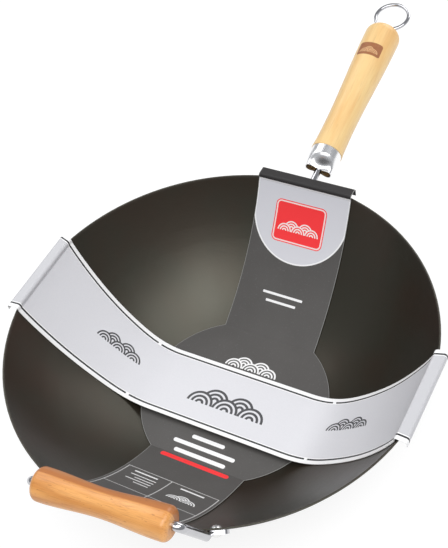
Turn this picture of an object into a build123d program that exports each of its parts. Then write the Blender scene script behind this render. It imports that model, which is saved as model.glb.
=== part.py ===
from build123d import *
import math
import os

# Carbon steel wok with a long bamboo handle, a short helper handle and a card
# sleeve. Millimetres. The origin is the centre of the underside, +Z is up and
# the long handle points along +X.

# Bowl
rim_d = 360.0
rim_h = 102.0
base_d = 170.0
wall_turn = 34.06
sheet = 1.6
knuckle_r = 5.0

# Rivets
rivet_d = 4.4
rivet_head_d = 8.6
rivet_head_h = 2.2
rivet_fit = 0.02
rivet_seat = 0.08

# Long handle: the ferrule's crimped end is the handle's root
root_reach = 26.8
root_drop = 10.4
handle_slope = 10.2
stem_d = 6.2
stem_bend_r = 13.0
tang_in_wood = 88.0
foot_w = 15.0
foot_l = 36.0
foot_t = 3.0
stem_to_foot = 15.0
stem_straight = 2.0
foot_rivet_pitch = 17.0
foot_blend_in = 3.0

# Ferrule
ferrule_d = 29.6
ferrule_l = 21.2
ferrule_tube_l = 9.0
ferrule_t = 0.8
crimp_w = 26.4
crimp_turn = 20.0
pinch_share = 0.66
ferrule_fit = 0.05
section_points = 24
crimp_steps = 4

# Long handle wood, measured along its axis from the ferrule
wood_root_d = 30.6
wood_waist_d = 29.3
wood_waist_share = 0.32
wood_end_d = 35.2
wood_swell_inset = 17.0
wood_l = 157.0
wood_end_r = 9.5
tang_fit = 0.05

# Hang ring and its eye
ring_d = 36.6
ring_wire_d = 3.8
eye_d = 9.9
eye_wire_d = 2.5
eye_out = 3.0
eye_shank_l = 16.0
eye_dimple_d = 13.0
eye_dimple_depth = 3.4

# Helper handle, in a frame of its own that is turned about the bowl's axis
helper_turn = 4.2
grip_out = 9.0
grip_over_rim = 40.0
grip_l = 108.0
grip_waist_d = 21.1
grip_end_d = 25.6
grip_swell_inset = 9.0
grip_end_r = 5.0
helper_rod_d = 7.0
helper_bend_r = 5.0
helper_bend_gap = 0.4
helper_foot_y = 65.5
helper_foot_drop = 11.0
helper_foot_w = 19.0
helper_foot_l = 11.0
helper_foot_t = 3.0
helper_press_w = 9.0
helper_press_in = 1.3
helper_leg_in = 5.0
helper_rod_rise = 10.0
grip_fit = 0.05

# Card sleeve
sleeve_turn = -0.85
card_t = 0.5
card_gap = 0.3
climb_steps = 4
fold_r = 2.0
fold_rise = 2.6
fold_out = 2.0
liner_w = 91.6
liner_disc_in = 0.5
liner_flap = 8.0
liner_short_of_rim = 3.0

# Band across the liner: its edge on the helper's side is the near one
band_near_mid = 41.4
band_near_rim = 45.3
band_far_mid = 26.3
band_far_rim = 43.5
band_lift = 5.5
band_flat_in = 20.0
band_bend_out = 25.0
band_flap = 5.0

# Whole and half turns, in degrees
half_turn = 180.0
quarter_turn = 90.0

# How far in the middle of a quarter round lies, as a share of its radius
round_mid_share = 1 - math.sqrt(0.5)

# Any cut that must pass right through reaches this far past the part
overrun = 60.0

rim_r = rim_d / 2
base_r = base_d / 2
wall_chord = math.hypot(rim_r - base_r, rim_h)
wall_arc_r = wall_chord / (2 * math.sin(math.radians(wall_turn / 2)))


def wall_centre():
    """Centre of the wall's arc, as (r, z), for the outer face."""
    rise = math.sqrt(wall_arc_r**2 - (wall_chord / 2) ** 2)
    along_r = (rim_r - base_r) / wall_chord
    along_z = rim_h / wall_chord
    return (rim_r + base_r) / 2 - rise * along_z, rim_h / 2 + rise * along_r


arc_r0, arc_z0 = wall_centre()
helper_foot_h = rim_h - helper_foot_drop


def wall_r(z, out=0.0):
    """Radius of the wall at a height, on a face that lies out from the outer one."""
    return arc_r0 + math.sqrt((wall_arc_r + out) ** 2 - (arc_z0 - z) ** 2)


def wall_point(angle, out=0.0):
    """Point of the wall's arc as (r, z); the angle is that of the outward normal."""
    reach = wall_arc_r + out
    return arc_r0 + reach * math.cos(angle), arc_z0 + reach * math.sin(angle)


def wall_angle(z):
    return -math.asin((arc_z0 - z) / wall_arc_r)


def skin(low, high, inner, outer):
    """Solid that follows the wall between two heights and two offsets."""
    a, b = wall_angle(low), wall_angle(high)
    mid = (a + b) / 2
    with BuildSketch(Plane.XZ) as profile:
        with BuildLine():
            ThreePointArc(wall_point(a, outer), wall_point(mid, outer), wall_point(b, outer))
            Line(wall_point(b, outer), wall_point(b, inner))
            ThreePointArc(wall_point(b, inner), wall_point(mid, inner), wall_point(a, inner))
            Line(wall_point(a, inner), wall_point(a, outer))
        make_face()
    return revolve(profile.sketch, Axis.Z)


def wall_plane(z, turn=0.0):
    """Plane on the outer face of the wall: x along the rim, y up the wall, z outwards."""
    angle = wall_angle(z)
    r, height = wall_point(angle)
    c, s = math.cos(math.radians(turn)), math.sin(math.radians(turn))
    out = (math.cos(angle) * c, math.cos(angle) * s, math.sin(angle))
    return Plane(origin=(r * c, r * s, height), x_dir=(-s, c, 0), z_dir=out)


def handle_line():
    """Root of the long handle and the direction out along it."""
    slope = math.radians(handle_slope)
    root = Vector(rim_r + root_reach, 0, rim_h - root_drop)
    return root, Vector(math.cos(slope), 0, math.sin(slope))


def foot_height():
    """Height of the middle of the foot, down the wall from where the handle's line meets it."""
    root, along = handle_line()
    from_centre = root - Vector(arc_r0, 0, arc_z0)
    half_b = from_centre.dot(along)
    back = half_b - math.sqrt(half_b**2 - from_centre.dot(from_centre) + wall_arc_r**2)
    meet = root - along * back
    angle = wall_angle(meet.Z) - (stem_to_foot + foot_l / 2) / wall_arc_r
    return wall_point(angle)[1]


def helper_foot_turn():
    """Angle round the bowl of a helper foot, from the middle of the helper handle."""
    return math.degrees(math.asin(helper_foot_y / wall_r(helper_foot_h)))


def rivet_planes():
    """Planes of the four rivets on the outer face, by name."""
    foot_h = foot_height()
    rise = foot_rivet_pitch / 2 * math.cos(wall_angle(foot_h))
    side = helper_foot_turn()
    return {
        "handle_rivet_upper": wall_plane(foot_h + rise),
        "handle_rivet_lower": wall_plane(foot_h - rise),
        "helper_rivet_left": wall_plane(helper_foot_h, half_turn + helper_turn - side),
        "helper_rivet_right": wall_plane(helper_foot_h, half_turn + helper_turn + side),
    }


def rivet_hole(plane):
    reach = 2 * (foot_t + rivet_head_h)
    return plane * Cylinder(rivet_d / 2 + rivet_fit, 2 * reach)


def bowl():
    a, b = wall_angle(0), wall_angle(rim_h)
    tip = wall_point(b, -sheet / 2)
    tip = (tip[0] + sheet / 2 * -math.sin(b), tip[1] + sheet / 2 * math.cos(b))
    floor_angle = -math.asin((arc_z0 - sheet) / (wall_arc_r - sheet))
    floor_edge = wall_point(floor_angle, -sheet)
    with BuildSketch(Plane.XZ) as profile:
        with BuildLine():
            Line((0, 0), (base_r, 0))
            ThreePointArc((base_r, 0), wall_point((a + b) / 2), wall_point(b))
            ThreePointArc(wall_point(b), tip, wall_point(b, -sheet))
            ThreePointArc(wall_point(b, -sheet), wall_point((floor_angle + b) / 2, -sheet), floor_edge)
            Line(floor_edge, (0, sheet))
            Line((0, sheet), (0, 0))
        make_face()
        low = profile.vertices().sort_by_distance((base_r, 0, 0))[0]
        high = profile.vertices().sort_by_distance((floor_edge[0], 0, floor_edge[1]))[0]
        fillet(low, knuckle_r + sheet)
        fillet(high, knuckle_r)
    solid = revolve(profile.sketch, Axis.Z)
    for plane in rivet_planes().values():
        solid -= rivet_hole(plane)
    return solid


def rivet(plane, grip):
    """Shank with a domed head on each side; the inner one clears the hollow wall's sag."""
    dome_r = (rivet_head_h**2 + (rivet_head_d / 2) ** 2) / (2 * rivet_head_h)
    dome = Pos(0, 0, rivet_head_h - dome_r) * Sphere(dome_r)
    dome &= Pos(0, 0, rivet_head_h / 2) * Cylinder(rivet_head_d / 2, rivet_head_h)
    inside = sheet + rivet_seat
    shank = Pos(0, 0, (grip - inside) / 2) * Cylinder(rivet_d / 2, grip + inside)
    outer = Pos(0, 0, grip) * dome
    inner = Pos(0, 0, -inside) * Rot(half_turn, 0, 0) * dome
    return plane * (shank + outer + inner)


def foot_pad(plane, width, length, thick, rivet_places):
    """Pressed foot that lies on the wall all over, with a hole for each rivet."""
    outline = extrude(plane * RectangleRounded(width, length, min(width, length) / 3), thick * 2, both=True)
    low, high = plane.origin.Z - length, min(plane.origin.Z + length, rim_h)
    pad = skin(low, high, 0, thick) & outline
    for place in rivet_places:
        pad -= rivet_hole(place)
    return pad


def pressed_end(rod_plane, rod_d, flat_plane, width, thick):
    """Rod that passes from round to flat, clear of the bowl's wall."""
    blend = loft([rod_plane * Circle(rod_d / 2), flat_plane * Ellipse(width / 2, thick / 2)])
    return blend - skin(0, rim_h, -sheet, 0)


def handle_axis():
    """Long handle's frame: x out along the handle from the crimped end, z up."""
    root = handle_line()[0]
    return Pos(root) * Rot(0, -handle_slope, 0)


def handle_bracket():
    foot = wall_plane(foot_height())
    root, along = handle_line()
    up = foot.y_dir
    start = foot.origin + foot.z_dir * (stem_d / 2)
    gap = root - start
    reach = (gap.X * along.Z - gap.Z * along.X) / (up.X * along.Z - up.Z * along.X)
    corner = start + up * reach
    turn = math.acos(up.dot(along))
    run = stem_bend_r * math.tan(turn / 2)
    tang = root + along * (ferrule_l + tang_in_wood)
    rod_end = corner - up * (run + stem_straight)
    path = FilletPolyline(tang, corner, rod_end, radius=stem_bend_r)
    rod = sweep(Plane(origin=tang, z_dir=along * -1) * Circle(stem_d / 2), path=path)
    flat_end = foot.origin + foot.z_dir * (foot_t / 2) + up * (foot_l / 2 - foot_blend_in)
    blend = pressed_end(
        Plane(origin=rod_end, x_dir=foot.x_dir, z_dir=up), stem_d,
        Plane(origin=flat_end, x_dir=foot.x_dir, z_dir=up), foot_w, foot_t,
    )
    places = [rivet_planes()[name] for name in ("handle_rivet_upper", "handle_rivet_lower")]
    return rod + blend + foot_pad(foot, foot_w, foot_l, foot_t, places)


def helper_frame():
    return Rot(0, 0, half_turn + helper_turn)


def helper_side(sign):
    """One half of the helper bracket, from the middle of the grip to its foot."""
    foot = wall_plane(helper_foot_h, sign * helper_foot_turn())
    middle = Vector(rim_r + grip_out, 0, rim_h + grip_over_rim)
    corner = middle + Vector(0, sign * (grip_l / 2 + helper_bend_gap + helper_bend_r), 0)
    leg = foot.origin - foot.x_dir * (sign * helper_leg_in)
    rise = helper_foot_l / 2 + helper_rod_rise
    rod_end = leg + foot.z_dir * (helper_rod_d / 2) + foot.y_dir * rise
    down = (rod_end - corner).normalized()
    path = FilletPolyline(middle, corner, rod_end, radius=helper_bend_r)
    rod = sweep(Plane(origin=middle, z_dir=(0, sign, 0)) * Circle(helper_rod_d / 2), path=path)
    flat_up = helper_foot_l / 2 - helper_press_in
    flat_end = leg + foot.z_dir * (helper_foot_t / 2) + foot.y_dir * flat_up
    blend = pressed_end(
        Plane(origin=rod_end, x_dir=foot.x_dir, z_dir=down * -1), helper_rod_d,
        Plane(origin=flat_end, x_dir=foot.x_dir, z_dir=foot.y_dir), helper_press_w, helper_foot_t,
    )
    return rod + blend + foot_pad(foot, helper_foot_w, helper_foot_l, helper_foot_t, [foot])


def helper_bracket():
    return helper_frame() * (helper_side(1) + helper_side(-1))


def collar_section(at, share, inset):
    """Ferrule outline: a circle at share 0, two lobes round the rod at share 1."""
    ease = share * share * (3 - 2 * share)
    waist = stem_d / 2 + ferrule_fit + ferrule_t - inset
    tube = ferrule_d / 2 - inset
    half_w = tube + (crimp_w - ferrule_d) / 2 * ease
    half_h = tube + (waist / (1 - pinch_share) - tube) * ease
    pinch = pinch_share * ease
    points = []
    for step in range(section_points):
        t = 2 * math.pi * step / section_points
        z = half_h * math.sin(t) * (1 - pinch * math.sin(t) ** 2)
        points.append((half_w * math.cos(t), z))
    plane = Plane(origin=(at, 0, 0), x_dir=(0, 1, 0), z_dir=(1, 0, 0))
    return plane * make_face(Spline(*points, periodic=True))


def collar_body(inset):
    """Crimped stretch and round stretch of the ferrule, as one solid."""
    crimp_l = ferrule_l - ferrule_tube_l
    shares = [step / crimp_steps for step in range(crimp_steps + 1)]
    sections = [collar_section(crimp_l * (1 - share), share, inset) for share in shares]
    return loft(sections) + extrude(sections[0], ferrule_tube_l)


def ferrule():
    return handle_axis() * Rot(crimp_turn, 0, 0) * (collar_body(0) - collar_body(ferrule_t))


def handle_wood():
    neck_r = ferrule_d / 2 - ferrule_t - ferrule_fit
    neck_at = ferrule_l - ferrule_tube_l
    end = ferrule_l + wood_l
    with BuildSketch(Plane.XZ) as profile:
        with BuildLine():
            Line((neck_at, 0), (neck_at, neck_r))
            Line((neck_at, neck_r), (ferrule_l, neck_r))
            Line((ferrule_l, neck_r), (ferrule_l, wood_root_d / 2))
            Spline(
                (ferrule_l, wood_root_d / 2),
                (ferrule_l + wood_waist_share * wood_l, wood_waist_d / 2),
                (end - wood_swell_inset, wood_end_d / 2),
                (end - wood_end_r, wood_end_d / 2),
            )
            round_mid = wood_end_r * round_mid_share
            ThreePointArc(
                (end - wood_end_r, wood_end_d / 2),
                (end - round_mid, wood_end_d / 2 - round_mid),
                (end, wood_end_d / 2 - wood_end_r),
            )
            Line((end, wood_end_d / 2 - wood_end_r), (end, 0))
            Line((end, 0), (neck_at, 0))
        make_face()
    body = revolve(profile.sketch, Axis.X)
    bore_end = ferrule_l + tang_in_wood
    bore_l = bore_end - neck_at
    bore = Pos(neck_at + bore_l / 2, 0, 0) * Rot(0, quarter_turn, 0)
    body -= bore * Cylinder(stem_d / 2 + tang_fit, bore_l)
    dimple_r = (eye_dimple_depth**2 + (eye_dimple_d / 2) ** 2) / (2 * eye_dimple_depth)
    body -= Pos(end - eye_dimple_depth + dimple_r, 0, 0) * Sphere(dimple_r)
    pilot = Pos(end - eye_shank_l / 2, 0, 0) * Rot(0, quarter_turn, 0)
    body -= pilot * Cylinder(eye_wire_d / 2 + tang_fit, eye_shank_l)
    return handle_axis() * body


def eye_at():
    return ferrule_l + wood_l + eye_out


def hang_eye():
    ring_r = (eye_d - eye_wire_d) / 2
    loop = Pos(eye_at(), 0, 0) * Rot(quarter_turn, 0, 0) * Torus(ring_r, eye_wire_d / 2)
    shank_end = ferrule_l + wood_l - eye_shank_l
    shank_l = eye_at() - ring_r - shank_end
    shank = Pos(shank_end + shank_l / 2, 0, 0) * Rot(0, quarter_turn, 0)
    return handle_axis() * (loop + shank * Cylinder(eye_wire_d / 2, shank_l))


def hang_ring():
    ring_r = (ring_d - ring_wire_d) / 2
    return handle_axis() * Pos(eye_at() + ring_r, 0, 0) * Torus(ring_r, ring_wire_d / 2)


def helper_grip():
    half = grip_l / 2
    swell = half - grip_swell_inset
    end_r, waist_r = grip_end_d / 2, grip_waist_d / 2
    round_mid = grip_end_r * round_mid_share
    with BuildSketch(Plane.XZ) as profile:
        with BuildLine():
            Line((-half, 0), (-half, end_r - grip_end_r))
            ThreePointArc(
                (-half, end_r - grip_end_r), (round_mid - half, end_r - round_mid),
                (grip_end_r - half, end_r),
            )
            Spline(
                (grip_end_r - half, end_r), (-swell, end_r), (0, waist_r),
                (swell, end_r), (half - grip_end_r, end_r),
            )
            ThreePointArc(
                (half - grip_end_r, end_r), (half - round_mid, end_r - round_mid),
                (half, end_r - grip_end_r),
            )
            Line((half, end_r - grip_end_r), (half, 0))
            Line((half, 0), (-half, 0))
        make_face()
    barrel = revolve(profile.sketch, Axis.X)
    barrel -= Rot(0, quarter_turn, 0) * Cylinder(helper_rod_d / 2 + grip_fit, grip_l)
    place = Pos(rim_r + grip_out, 0, rim_h + grip_over_rim) * Rot(0, 0, quarter_turn)
    return helper_frame() * place * barrel


def card_edge(z, half_w, off):
    """Distance from the middle where a flat card of this half width meets the wall."""
    return math.sqrt(wall_r(z, -sheet - off) ** 2 - half_w**2)


def wall_height(r, off):
    """Height at which the inner face, moved in by an offset, has this radius."""
    return arc_z0 - math.sqrt((wall_arc_r - sheet - off) ** 2 - (r - arc_r0) ** 2)


def wall_direction(z):
    """Direction up the wall, as (r, z)."""
    angle = wall_angle(z)
    return -math.sin(angle), math.cos(angle)


def climb_points(bottom, top, half_low, half_high, off):
    """Places up one side of the wall, where a flat card's edges come this near to it."""
    points = []
    for step in range(climb_steps + 1):
        share = step / climb_steps
        z = bottom + (top - bottom) * share
        points.append((card_edge(z, half_low + (half_high - half_low) * share, off), z))
    return points


def rim_fold(start, flap, off):
    """One face of the fold over the rim: up, across and down outside."""
    top = rim_h + fold_rise + fold_r
    out = rim_r + fold_out + off
    corners = [start, (start[0], top + off), (out, top + off), (out, top - flap)]
    return FilletPolyline(*corners, radius=fold_r + off)


def bent_card(lower, upper, ahead, half_w, flap):
    """Card between two lines up one side; with a flap it also folds over the rim."""
    with BuildSketch(Plane.XZ) as profile:
        with BuildLine():
            ends = []
            for points, off in ((lower, 0), (upper, card_t)):
                if ahead:
                    Spline(*points, tangents=ahead)
                else:
                    Spline(*points)
                ends.append(rim_fold(points[-1], flap, off) @ 1 if flap else points[-1])
            Line(ends[0], ends[1])
            Line(lower[0], upper[0])
        make_face()
    return extrude(profile.sketch, half_w, both=True)


def card_box(x0, x1, z0, z1, half_w):
    """Flat card between two places along the strip and two heights."""
    return Pos((x0 + x1) / 2, 0, (z0 + z1) / 2) * Box(x1 - x0, 2 * half_w, z1 - z0)


def liner_card():
    half_w = liner_w / 2
    low = sheet + card_gap
    floor_x = card_edge(low, half_w, card_gap)
    floor = card_box(-floor_x, floor_x, low, low + card_t, half_w)
    disc = Pos(0, 0, low + card_t / 2) * Cylinder(base_r - liner_disc_in, card_t)
    sides = []
    for top, flap in ((rim_h, liner_flap), (rim_h - liner_short_of_rim, 0)):
        faces = [climb_points(low, top, half_w, half_w, card_gap + off) for off in (0, card_t)]
        sides.append(bent_card(*faces, None, half_w, flap))
    return Rot(0, 0, sleeve_turn) * (floor + disc + sides[0] + mirror(sides[1], Plane.YZ))


def band_outline():
    """Plan of one side of the band, from its middle to past the rim."""
    flat = base_r - band_flat_in
    end = rim_r + overrun
    with BuildSketch() as plan:
        with BuildLine():
            Line((0, -band_far_mid), (flat, -band_far_mid))
            TangentArc((flat, -band_far_mid), (rim_r, -band_far_rim), tangent=(1, 0))
            Polyline((rim_r, -band_far_rim), (end, -band_far_rim), (end, band_near_rim), (rim_r, band_near_rim))
            TangentArc((flat, band_near_mid), (rim_r, band_near_rim), tangent=(1, 0))
            Line((flat, band_near_mid), (0, band_near_mid))
            Line((0, band_near_mid), (0, -band_far_mid))
        make_face()
    return plan.sketch


def band_card():
    flat, on_wall = base_r - band_flat_in, base_r + band_bend_out
    low = sheet + band_lift
    wall_low = wall_height(math.hypot(on_wall, band_near_mid), card_gap)
    faces = []
    for off in (0, card_t):
        climb = climb_points(wall_low, rim_h, band_near_mid, band_near_rim, card_gap + off)
        faces.append([(flat, low + off)] + climb)
    side = card_box(0, flat, low, low + card_t, rim_r)
    side += bent_card(*faces, ((1, 0), wall_direction(rim_h)), rim_r, band_flap)
    side &= extrude(band_outline(), rim_d, both=True)
    strip = side + mirror(side, Plane.YZ)
    return Rot(0, 0, quarter_turn + sleeve_turn) * strip


def nodes():
    built = {
        "wok_bowl": bowl(),
        "handle_bracket": handle_bracket(),
        "ferrule": ferrule(),
        "handle_wood": handle_wood(),
        "hang_eye": hang_eye(),
        "hang_ring": hang_ring(),
        "helper_bracket": helper_bracket(),
        "helper_grip": helper_grip(),
        "liner_card": liner_card(),
        "band_card": band_card(),
    }
    for name, plane in rivet_planes().items():
        thick = foot_t if name.startswith("handle") else helper_foot_t
        built[name] = rivet(plane, thick)
    return built


os.makedirs("parts", exist_ok=True)
for node, shape in nodes().items():
    export_step(shape, f"parts/{node}.step")
    print(node, shape.bounding_box())
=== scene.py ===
import math
import bpy
from mathutils import Matrix, Vector

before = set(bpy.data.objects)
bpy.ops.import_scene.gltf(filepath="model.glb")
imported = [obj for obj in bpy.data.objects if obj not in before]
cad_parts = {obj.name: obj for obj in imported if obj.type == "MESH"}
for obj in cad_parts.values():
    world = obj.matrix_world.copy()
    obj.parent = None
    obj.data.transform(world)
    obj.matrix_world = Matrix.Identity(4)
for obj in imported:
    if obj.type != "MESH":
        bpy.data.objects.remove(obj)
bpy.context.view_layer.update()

# Carbon steel wok on a pale floor. Metres in the scene, millimetres inside the materials.

# Camera, fitted to the rim, the cards and both handles in the photograph
photo_long_side_px = 548
focal_px = 1057.0
film_width = 36.0
camera_distance = 0.9608
camera_target = Vector((0.0861, 0.0438, 0.060))
camera_turn = math.radians(36.43)
camera_elevation = math.radians(48.24)
camera_roll = math.radians(-12.91)
view_end = 20.0

# Lamps: name, place, width and height, watts
lamps = (
    ("key", (-0.22, -0.75, 1.45), (1.4, 0.8), 12.5),
    ("top", (0.35, 1.0, 1.4), (1.2, 1.2), 11.0),
    ("back", (1.35, -0.25, 0.7), (1.0, 0.7), 6.0),
    ("front", (-0.97, -0.3, 1.5), (1.1, 0.9), 9.0),
)
lamp_aim = Vector((0.0, 0.0, 0.06))

# Strength of the sky as a light, in mirrors and straight to the camera
sky_light, sky_shine, sky_seen = 0.32, 0.38, 1.0

# Floor, in metres, and how strongly it shades and glows where it is seen
floor_half = 6.0
floor_drop = 0.0002
floor_shade, floor_glow = 0.24, 0.82

# Shapes that the prints and the grain follow, from here on in millimetres
rim_height = 102.0
rim_radius = 180.0
sleeve_turn = math.radians(-0.85)
liner_half = 45.8
disc_radius = 84.5
band_flat = 65.0
band_near_mid, band_near_rim = 41.4, 45.3
band_far_mid, band_far_rim = 26.3, 43.5
handle_slope = math.radians(10.2)
helper_turn = math.radians(4.2)
grip_middle = -189.0

# Share of a step along X and Z that counts as a step up the wall
climb_x, climb_z = 0.68, 0.73

# Rim's edge lightened, partly wear and partly painted highlight, and the grey of the card's fold, painted
# shade with some rubbed ink, as heights from the rim
rim_sheen_from, rim_sheen_to = -0.9, -0.3
fold_shade_from, fold_shade_to = 0.3, 2.3

# Width of the glued strips of bamboo, and where the grip's darker strip starts, from its middle: painted
# shade, partly darker rind
long_lane, short_lane = 8.5, 7.5
shaded_side_from, shaded_side_to = 2.4, 3.8

# A plate or bar is given by its middle, half width, half height and corner radius,
# and a group of waves by its foot, the radius of a scale and the scales in its lower row

# Plate burnt into the upper side of the long handle
burn_plate = (359.0, 11.5, 7.5, 2.0)
burn_waves = (354.5, 4.6, 2)
upper_side_from = 60.0

# Dark card, up the wall towards the long handle. A thin bar: its place up the wall and half width
wall_from, card_end = 100.0, 300.0
patch_radius, patch_middle, patch_end = 46.5, 166.2, 192.2
patch_line, patch_round_line = 1.2, 1.4
plate_middle, plate_half_w, plate_half_h, plate_corner = 157.7, 25.4, 19.8, 5.4
plate_insets = (0.0, 0.9, 2.2)
plate_waves = (149.0, 6.8, 3)
thin_bars = ((89.6, 20.0), (82.6, 15.0))
thin_bar_half = 1.1

# Dark card, on the flat bottom
bottom_top = 4.0
bottom_waves = (31.0, 8.5, 3)
white_bars = ((-49.0, 16.0, 1.9, 1.8), (-57.5, 30.0, 1.9, 1.8), (-66.0, 25.0, 1.9, 1.8))
red_bar = (-74.6, 33.0, 2.3, 2.2)

# Dark card, ruled box up the wall towards the short handle. A short bar: its place up the wall and far end
box_half, box_low, box_high = 43.2, 86.8, 168.0
rule, cross_y, cross_climb = 0.8, 1.0, 127.4
head_climb, head_half, head_near, head_far = 92.4, 1.0, 11.0, 33.0
short_bars = ((98.5, 34.0), (103.0, 28.0), (107.5, 34.0), (112.0, 24.0))
short_near, short_half = 10.0, 0.6
box_waves = (-113.0, 6.6, 2)
box_waves_y = -20.5

# Raw board shows this far in from a cut edge of the dark card
cut_side, cut_round = 0.45, 0.4

# Pale card: margin, line and the gap in the line, then the waves on the middle and the sides
margin = 5.9
line_from, line_to = 3.5, 5.1
gap_from, gap_to = 86.6, 89.6
middle_waves = (-19.0, 12.5, 3)
side_waves = (-7.0, 8.0, 3)
side_waves_climb = 97.5
sides_from = 60.0

# Longer than any distance on the part
far = 400.0


def camera():
    data = bpy.data.cameras.new("camera")
    data.sensor_width = film_width
    data.lens = focal_px * film_width / photo_long_side_px
    data.clip_end = view_end
    level = math.cos(camera_elevation)
    forward = Vector((math.cos(camera_turn), math.sin(camera_turn), 0)) * level
    forward.z = -math.sin(camera_elevation)
    right = Vector((math.sin(camera_turn), -math.cos(camera_turn), 0))
    up = right.cross(forward)
    c, s = math.cos(camera_roll), math.sin(camera_roll)
    right, up = right * c + up * s, up * c - right * s
    obj = bpy.data.objects.new("camera", data)
    turn = Matrix((right, up, -forward)).transposed().to_4x4()
    obj.matrix_world = Matrix.Translation(camera_target - forward * camera_distance) @ turn
    bpy.context.scene.collection.objects.link(obj)
    bpy.context.scene.camera = obj


class Nodes:
    """Short way to build one material's node tree."""

    def __init__(self, name):
        self.material = bpy.data.materials.new(name)
        self.material.use_nodes = True
        self.tree = self.material.node_tree
        self.shader = self.tree.nodes["Principled BSDF"]

    def add(self, kind, **values):
        node = self.tree.nodes.new("ShaderNode" + kind)
        for key, value in values.items():
            setattr(node, key, value)
        return node

    def link(self, source, target):
        self.tree.links.new(source, target)

    def put(self, target, value):
        if isinstance(value, bpy.types.NodeSocket):
            self.link(value, target)
        else:
            target.default_value = value

    def place(self, turn=(0, 0, 0), stretch=(1, 1, 1)):
        """Point of the object in millimetres, turned, then stretched."""
        coordinates = self.add("TexCoord")
        turned = self.add("Mapping", vector_type="POINT")
        turned.inputs["Rotation"].default_value = turn
        turned.inputs["Scale"].default_value = (1000, 1000, 1000)
        self.link(coordinates.outputs["Object"], turned.inputs["Vector"])
        if stretch == (1, 1, 1):
            return turned.outputs["Vector"]
        scaled = self.add("Mapping", vector_type="POINT")
        scaled.inputs["Scale"].default_value = stretch
        self.link(turned.outputs["Vector"], scaled.inputs["Vector"])
        return scaled.outputs["Vector"]

    def axes(self, vector):
        node = self.add("SeparateXYZ")
        self.put(node.inputs[0], vector)
        return node.outputs

    def noise(self, vector, size, detail=4.0, rough=0.55):
        """Noise of 0 to 1 whose lumps are about this many millimetres across."""
        node = self.add("TexNoise")
        self.put(node.inputs["Vector"], vector)
        node.inputs["Scale"].default_value = 1 / size
        node.inputs["Detail"].default_value = detail
        node.inputs["Roughness"].default_value = rough
        return node.outputs["Fac"]

    def math(self, operation, a, b=0.0, c=0.0):
        node = self.add("Math", operation=operation)
        for socket, value in zip(node.inputs, (a, b, c)):
            self.put(socket, value)
        return node.outputs[0]

    def plus(self, a, b):
        return self.math("ADD", a, b)

    def minus(self, a, b):
        return self.math("SUBTRACT", a, b)

    def times(self, a, b):
        return self.math("MULTIPLY", a, b)

    def absolute(self, value):
        return self.math("ABSOLUTE", value)

    def length(self, a, b):
        return self.math("SQRT", self.plus(self.times(a, a), self.times(b, b)))

    def within(self, value, low, high):
        """1 between low and high, else 0."""
        return self.math("COMPARE", value, (low + high) / 2, (high - low) / 2)

    def around(self, value, middle, half):
        """1 up to half a width from the middle, else 0."""
        return self.math("COMPARE", value, middle, half)

    def all(self, *masks):
        total = masks[0]
        for mask in masks[1:]:
            total = self.times(total, mask)
        return total

    def any(self, *masks):
        total = masks[0]
        for mask in masks[1:]:
            total = self.math("MAXIMUM", total, mask)
        return total

    def without(self, mask):
        return self.minus(1.0, mask)

    def ramp(self, value, low, high):
        """0 below low, 1 above high, smooth between them."""
        node = self.add("MapRange", interpolation_type="SMOOTHSTEP")
        self.put(node.inputs["Value"], value)
        node.inputs["From Min"].default_value = low
        node.inputs["From Max"].default_value = high
        return node.outputs["Result"]

    def span(self, value, low, high):
        """A value of 0 to 1 spread between low and high."""
        node = self.add("MapRange")
        self.put(node.inputs["Value"], value)
        node.inputs["To Min"].default_value = low
        node.inputs["To Max"].default_value = high
        return node.outputs["Result"]

    def blend(self, amount, a, b):
        node = self.add("Mix", data_type="RGBA")
        self.put(node.inputs["Factor"], amount)
        self.put(node.inputs[6], a)
        self.put(node.inputs[7], b)
        return node.outputs[2]

    def bump(self, height, distance):
        """Relief of this many metres between a height of 0 and of 1."""
        node = self.add("Bump")
        node.inputs["Distance"].default_value = distance
        self.link(height, node.inputs["Height"])
        self.link(node.outputs["Normal"], self.shader.inputs["Normal"])

    def set(self, **values):
        for key, value in values.items():
            self.put(self.shader.inputs[key.replace("_", " ")], value)


def rgb(red, green, blue):
    return (red, green, blue, 1.0)


def grey(level):
    return rgb(level, level, level)


# Inks that the dark card's prints share
print_red, print_white = rgb(0.95, 0.045, 0.05), grey(0.88)


def seasoned_steel():
    """Oil-blackened spun steel: brown and green-grey mottle, fine marks round the bowl, and a lighter rim
    edge that is partly wear and partly a painted highlight.
    """
    brown, green, rim_wear_and_sheen = rgb(0.019, 0.011, 0.007), rgb(0.0145, 0.013, 0.009), rgb(0.06, 0.056, 0.052)
    n = Nodes("seasoned_steel")
    here = n.place()
    x, y, z = n.axes(here)
    mottle = n.noise(here, size=75.0, rough=0.5)
    fine = n.noise(here, size=2.6, detail=3.0)
    rings = n.add("CombineXYZ")
    n.put(rings.inputs[0], n.length(x, y))
    n.put(rings.inputs[1], n.times(n.math("ARCTAN2", y, x), 4.0))
    turned = n.noise(rings.outputs[0], size=1.1, detail=3.0)
    tone = n.blend(n.ramp(mottle, 0.35, 0.68), brown, green)
    # Painted highlight along the rim's edge, partly bare steel from wear: a thin lighter band just under
    # the rim top
    edge = n.ramp(z, rim_height + rim_sheen_from, rim_height + rim_sheen_to)
    tone = n.blend(n.times(edge, 0.2), tone, rim_wear_and_sheen)
    haze = n.times(n.plus(mottle, fine), 0.5)
    n.set(Base_Color=tone, Roughness=n.span(haze, 0.26, 0.42), Coat_Weight=0.1, Coat_Roughness=0.3)
    n.set(Specular_Tint=rgb(0.98, 0.96, 0.79), Specular_IOR_Level=0.55)
    n.bump(n.plus(n.times(turned, 0.6), fine), 0.00004)
    return n.material


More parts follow.
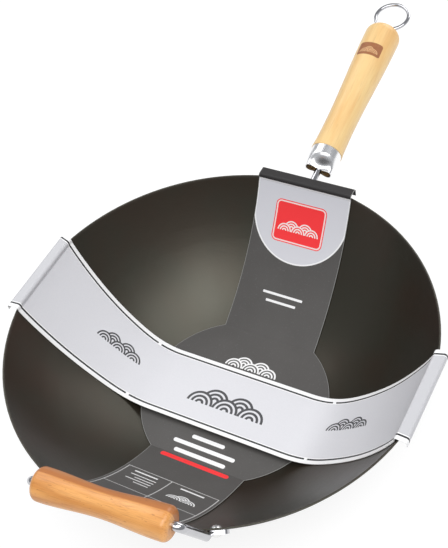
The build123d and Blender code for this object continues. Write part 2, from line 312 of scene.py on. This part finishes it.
def chrome(name, dull, bright, haze):
    """Plating with faint draw marks and cloudy patches."""
    n = Nodes(name)
    cloud = n.noise(n.place(), size=16.0, detail=3.0)
    marks = n.noise(n.place(stretch=(1, 6, 6)), size=3.3, detail=2.0)
    tone = n.blend(cloud, dull, bright)
    n.set(Base_Color=tone, Metallic=1.0, Roughness=n.span(cloud, haze - 0.05, haze + 0.05))
    n.bump(marks, 0.00002)
    return n.material


def rivet_steel():
    """Tumbled steel."""
    n = Nodes("rivet_steel")
    speck = n.noise(n.place(), size=2.0, detail=3.0)
    tone = n.blend(speck, rgb(0.72, 0.72, 0.71), rgb(0.90, 0.90, 0.89))
    n.set(Base_Color=tone, Metallic=1.0, Roughness=n.span(speck, 0.2, 0.34))
    n.bump(speck, 0.00004)
    return n.material


def bamboo(name, turn, lane, pale, deep, vein):
    """Glued bamboo under lacquer, fibre along the turned X axis. Returns its nodes, place and tone."""
    n = Nodes(name)
    here = n.place(turn)
    _, across, _ = n.axes(here)
    wander = n.times(n.minus(n.noise(here, size=120.0, detail=2.0), 0.5), lane * 0.16)
    strip = n.math("DIVIDE", n.plus(across, wander), lane)
    tint = n.add("TexWhiteNoise", noise_dimensions="1D")
    n.put(tint.inputs["W"], n.math("FLOOR", strip))
    fibre = n.noise(n.place(turn, (0.035, 1, 1)), size=1.1, rough=0.6)
    broad = n.noise(n.place(turn, (0.12, 1, 1)), size=9.0, detail=3.0, rough=0.5)
    tone = n.blend(n.ramp(broad, 0.3, 0.75), pale, deep)
    tone = n.blend(n.times(tint.outputs["Value"], 0.25), tone, deep)
    tone = n.blend(n.times(n.ramp(fibre, 0.54, 0.72), 0.34), tone, vein)
    seam = n.absolute(n.minus(n.math("FRACT", strip), 0.5))
    tone = n.blend(n.times(n.ramp(seam, 0.482, 0.5), 0.24), tone, vein)
    n.set(Base_Color=tone, Roughness=n.span(fibre, 0.42, 0.55), Coat_Weight=0.4, Coat_Roughness=0.16)
    n.bump(fibre, 0.00006)
    return n, here, tone


def fan_row(n, across, up, low, radius, count):
    """One row of round scales side by side, each with rings: their drawn lines and their whole area."""
    pitch = 2 * radius
    half_row = pitch * count / 2
    off = n.minus(n.math("FLOORED_MODULO", n.plus(across, half_row), pitch), radius)
    rise = n.minus(up, low)
    out = n.length(off, rise)
    whole = n.all(n.within(out, 0, radius), n.within(rise, 0, radius), n.around(across, 0, half_row))
    ring = n.within(n.math("FLOORED_MODULO", out, radius / 3), radius * 0.15, radius / 3)
    return n.all(whole, ring), whole


def waves(n, across, up, low, radius, count):
    """Two rows of ringed scales, the upper one behind the lower one and half a step along."""
    front, cover = fan_row(n, across, up, low, radius, count)
    back, _ = fan_row(n, across, up, low + radius / 2, radius, count - 1)
    return n.any(front, n.all(back, n.without(cover)))


def rounded_box(n, across, up, middle, half_w, half_h, corner):
    """Inside of a box with round corners."""
    side = n.minus(n.absolute(across), half_w - corner)
    end = n.minus(n.absolute(n.minus(up, middle)), half_h - corner)
    out = n.length(n.math("MAXIMUM", side, 0.0), n.math("MAXIMUM", end, 0.0))
    return n.within(out, -corner, corner)


def long_bamboo():
    """Pale bamboo with a small burnt-in plate of waves near the free end."""
    pale, deep, vein = rgb(0.86, 0.61, 0.275), rgb(0.79, 0.47, 0.175), rgb(0.55, 0.32, 0.14)
    char, scorch, bare = rgb(0.24, 0.075, 0.025), rgb(0.42, 0.16, 0.05), rgb(0.70, 0.42, 0.20)
    n, here, tone = bamboo("pale_bamboo", (0, handle_slope, 0), long_lane, pale, deep, vein)
    along, across, up = n.axes(here)
    upper_side = n.math("GREATER_THAN", up, upper_side_from)
    plate = n.all(upper_side, rounded_box(n, across, along, *burn_plate))
    burn = n.noise(here, size=1.6, detail=3.0)
    tone = n.blend(plate, tone, n.blend(burn, char, scorch))
    tone = n.blend(n.all(plate, waves(n, across, along, *burn_waves)), tone, bare)
    n.set(Base_Color=tone)
    return n.material


def short_bamboo():
    """Amber bamboo, darker along the side towards the bowl in painted shade that is partly darker rind,
    with fine hairs and dark pores.
    """
    turn = (0, 0, math.pi / 2 - helper_turn)
    pale, deep, vein = rgb(0.86, 0.42, 0.125), rgb(0.60, 0.235, 0.05), rgb(0.22, 0.065, 0.015)
    skin_and_shade, hair_tone = rgb(0.38, 0.115, 0.025), rgb(0.40, 0.13, 0.03)
    n, here, tone = bamboo("amber_bamboo", turn, short_lane, pale, deep, vein)
    _, across, _ = n.axes(here)
    # Painted shade: the grip darkens along its side towards the bowl, partly the bamboo's darker rind
    shaded_side = n.ramp(n.minus(across, grip_middle), shaded_side_from, shaded_side_to)
    tone = n.blend(n.times(shaded_side, 0.75), tone, skin_and_shade)
    hair = n.ramp(n.noise(n.place(turn, (0.025, 1, 1)), size=0.6, detail=3.0, rough=0.6), 0.5, 0.68)
    tone = n.blend(n.times(hair, 0.3), tone, hair_tone)
    pore = n.ramp(n.noise(n.place(turn, (0.22, 1, 1)), size=1.5, detail=2.0, rough=0.7), 0.66, 0.74)
    n.set(Base_Color=n.blend(n.times(pore, 0.5), tone, vein))
    return n.material


def print_patch(n, tone, y, ahead):
    """Silver patch from the fold down to a round end with a white line round it, and a red plate on it."""
    silver, fold_ink = rgb(0.66, 0.66, 0.70), rgb(0.030, 0.028, 0.028)
    below = n.math("MINIMUM", n.minus(ahead, patch_middle), 0.0)
    out = n.length(y, below)
    patch = n.all(n.within(out, 0, patch_radius), n.within(ahead, wall_from, patch_end))
    inner = n.all(
        n.within(out, 0, patch_radius - patch_round_line),
        n.around(y, 0, liner_half - patch_line),
        n.within(ahead, wall_from, patch_end - patch_line),
    )
    tone = n.blend(patch, tone, print_white)
    tone = n.blend(inner, tone, silver)
    tone = n.blend(n.within(ahead, patch_end, card_end), tone, fold_ink)
    for inset, ink in zip(plate_insets, (print_red, rgb(0.92, 0.72, 0.70), print_red)):
        size = (plate_half_w - inset, plate_half_h - inset, plate_corner - inset)
        tone = n.blend(rounded_box(n, y, ahead, plate_middle, *size), tone, ink)
    return n.blend(waves(n, y, ahead, *plate_waves), tone, rgb(0.92, 0.80, 0.78))


def print_marks(n, tone, x, y, z, ahead):
    """Two thin bars up the wall, waves on the flat bottom, three white bars and a red one."""
    marks = [n.all(n.around(ahead, at, thin_bar_half), n.around(y, 0, half)) for at, half in thin_bars]
    marks.append(n.all(n.within(z, 0, bottom_top), waves(n, y, x, *bottom_waves)))
    marks += [rounded_box(n, y, x, *bar) for bar in white_bars]
    tone = n.blend(n.any(*marks), tone, print_white)
    return n.blend(rounded_box(n, y, x, *red_bar), tone, print_red)


def print_box(n, tone, y, behind):
    """Ruled box of four fields: a bar at the head of two, short bars in one and waves in the other."""
    box = n.all(n.around(y, 0, box_half), n.within(behind, box_low, box_high))
    hollow = n.all(n.around(y, 0, box_half - rule), n.within(behind, box_low + rule, box_high - rule))
    cross = n.any(n.around(y, cross_y, rule / 2), n.around(behind, cross_climb, rule / 2))
    tone = n.blend(n.all(box, n.any(n.without(hollow), cross)), tone, rgb(0.55, 0.55, 0.54))
    from_cross = n.absolute(n.minus(y, cross_y))
    fills = [n.all(n.around(behind, head_climb, head_half), n.within(from_cross, head_near, head_far))]
    for at, end in short_bars:
        fills.append(n.all(n.around(behind, at, short_half), n.within(y, short_near, end)))
    fills.append(waves(n, n.minus(y, box_waves_y), n.times(behind, -1.0), *box_waves))
    return n.blend(n.any(*fills), tone, grey(0.80))


def dark_card():
    """Charcoal print on white board: pale patch with a red plate, waves, plain bars and a ruled box."""
    n = Nodes("dark_card")
    here = n.place((0, 0, -sleeve_turn))
    x, y, z = n.axes(here)
    ahead = n.plus(n.times(x, climb_x), n.times(z, climb_z))
    behind = n.minus(n.times(z, climb_z), n.times(x, climb_x))
    speck = n.noise(here, size=1.4, detail=2.0)
    cloud = n.noise(here, size=45.0, detail=3.0)
    tone = n.blend(cloud, rgb(0.074, 0.070, 0.067), rgb(0.100, 0.096, 0.092))
    tone = n.blend(n.times(n.ramp(speck, 0.6, 0.75), 0.25), tone, grey(0.18))
    tone = print_patch(n, tone, y, ahead)
    tone = print_marks(n, tone, x, y, z, ahead)
    tone = print_box(n, tone, y, behind)
    raw_side = n.within(n.absolute(y), liner_half - cut_side, far)
    raw_round = n.within(n.length(x, y), disc_radius - cut_round, far)
    tone = n.blend(n.all(raw_side, raw_round), tone, rgb(0.26, 0.26, 0.25))
    n.set(Base_Color=tone, Roughness=0.46, Specular_IOR_Level=0.3)
    n.bump(speck, 0.00003)
    return n.material


def pale_card():
    """Silver-grey board with white margins, a fine black line along each edge and three groups of waves."""
    n = Nodes("pale_card")
    here = n.place((0, 0, -math.pi / 2 - sleeve_turn))
    along, across, z = n.axes(here)
    reach = n.absolute(along)
    share = n.math("DIVIDE", n.minus(reach, band_flat), rim_radius - band_flat)
    share = n.math("MINIMUM", n.math("MAXIMUM", share, 0.0), 1.0)
    flare = n.times(share, share)
    near_edge = n.plus(n.times(flare, band_near_rim - band_near_mid), band_near_mid)
    far_edge = n.plus(n.times(flare, band_far_rim - band_far_mid), band_far_mid)
    inset = n.math("MINIMUM", n.minus(near_edge, across), n.plus(far_edge, across))
    speck = n.noise(here, size=1.2, detail=2.0)
    tone = n.blend(speck, rgb(0.67, 0.67, 0.70), rgb(0.72, 0.72, 0.75))

    # Painted shade where the board folds over the rim, partly rubbed ink: greyer towards the top of the
    # fold
    fold = n.times(n.ramp(z, rim_height + fold_shade_from, rim_height + fold_shade_to), 0.8)
    tone = n.blend(fold, tone, rgb(0.50, 0.50, 0.52))
    tone = n.blend(n.within(inset, -margin, margin), tone, grey(0.90))
    line = n.all(n.within(inset, line_from, line_to), n.without(n.within(reach, gap_from, gap_to)))
    tone = n.blend(line, tone, rgb(0.020, 0.020, 0.022))
    up = n.times(across, -1.0)
    climb = n.plus(n.times(reach, climb_x), n.times(z, climb_z))
    middle = n.all(waves(n, along, up, *middle_waves), n.within(reach, 0, sides_from))
    sides = waves(n, n.minus(climb, side_waves_climb), up, *side_waves)
    sides = n.all(sides, n.math("GREATER_THAN", reach, sides_from))
    tone = n.blend(n.any(middle, sides), tone, rgb(0.055, 0.055, 0.06))
    n.set(Base_Color=tone, Roughness=0.42)
    n.bump(speck, 0.00003)
    return n.material


def dress(material, *nodes):
    for node in nodes:
        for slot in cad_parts[node].material_slots:
            slot.material = material


def dress_all():
    cap = chrome("chrome_cap", rgb(0.90, 0.90, 0.91), rgb(0.97, 0.97, 0.98), 0.27)
    wire = chrome("chrome_wire", rgb(0.44, 0.44, 0.46), rgb(0.64, 0.64, 0.66), 0.13)
    dress(seasoned_steel(), "wok_bowl")
    dress(cap, "ferrule")
    dress(wire, "handle_bracket", "helper_bracket", "hang_eye", "hang_ring")
    rivet = rivet_steel()
    dress(rivet, "handle_rivet_upper", "handle_rivet_lower", "helper_rivet_left", "helper_rivet_right")
    dress(long_bamboo(), "handle_wood")
    dress(short_bamboo(), "helper_grip")
    dress(dark_card(), "liner_card")
    dress(pale_card(), "band_card")


def floor_finish():
    """White to the camera and in mirrors with a soft shadow, plain pale as a light, clear from below."""
    n = Nodes("floor")
    n.set(Base_Color=grey(0.85), Roughness=0.9, Specular_IOR_Level=0.1)
    shade = n.add("BsdfDiffuse")
    shade.inputs["Color"].default_value = grey(floor_shade)
    glow = n.add("Emission")
    glow.inputs["Strength"].default_value = floor_glow
    shown = n.add("AddShader")
    n.link(shade.outputs[0], shown.inputs[0])
    n.link(glow.outputs[0], shown.inputs[1])
    path = n.add("LightPath")
    seen = n.any(*(path.outputs[ray] for ray in ("Is Camera Ray", "Is Glossy Ray", "Is Transmission Ray")))
    mix = n.add("MixShader")
    n.link(seen, mix.inputs[0])
    n.link(n.shader.outputs[0], mix.inputs[1])
    n.link(shown.outputs[0], mix.inputs[2])
    below = n.add("MixShader")
    n.link(n.add("NewGeometry").outputs["Backfacing"], below.inputs[0])
    n.link(mix.outputs[0], below.inputs[1])
    n.link(n.add("BsdfTransparent").outputs[0], below.inputs[2])
    n.link(below.outputs[0], n.tree.nodes["Material Output"].inputs["Surface"])
    return n.material


def floor():
    mesh = bpy.data.meshes.new("floor")
    near, reach = -floor_half, floor_half
    corners = [(near, near, 0), (reach, near, 0), (reach, reach, 0), (near, reach, 0)]
    mesh.from_pydata(corners, [], [(0, 1, 2, 3)])
    mesh.materials.append(floor_finish())
    obj = bpy.data.objects.new("floor", mesh)
    obj.location.z = -floor_drop
    bpy.context.scene.collection.objects.link(obj)


def area_light(name, place, size, watts):
    data = bpy.data.lights.new(name, "AREA")
    data.shape = "RECTANGLE"
    data.size, data.size_y = size
    data.energy = watts
    obj = bpy.data.objects.new(name, data)
    obj.location = place
    aim = lamp_aim - Vector(place)
    obj.rotation_euler = aim.to_track_quat("-Z", "Y").to_euler()
    bpy.context.scene.collection.objects.link(obj)


def studio():
    """Pale sky, dimmer as a light than to the camera, and the lamps."""
    world = bpy.data.worlds.new("studio")
    bpy.context.scene.world = world
    world.use_nodes = True
    tree = world.node_tree
    sky = tree.nodes["Background"]
    sky.inputs["Color"].default_value = rgb(0.94, 0.96, 1.0)
    path = tree.nodes.new("ShaderNodeLightPath")
    shine = tree.nodes.new("ShaderNodeMix")
    tree.links.new(path.outputs["Is Glossy Ray"], shine.inputs["Factor"])
    shine.inputs["A"].default_value = sky_light
    shine.inputs["B"].default_value = sky_shine
    seen = tree.nodes.new("ShaderNodeMix")
    tree.links.new(path.outputs["Is Camera Ray"], seen.inputs["Factor"])
    tree.links.new(shine.outputs["Result"], seen.inputs["A"])
    seen.inputs["B"].default_value = sky_seen
    tree.links.new(seen.outputs["Result"], sky.inputs["Strength"])
    for lamp in lamps:
        area_light(*lamp)


dress_all()
camera()
floor()
studio()
bpy.context.scene.view_settings.view_transform = "Standard"
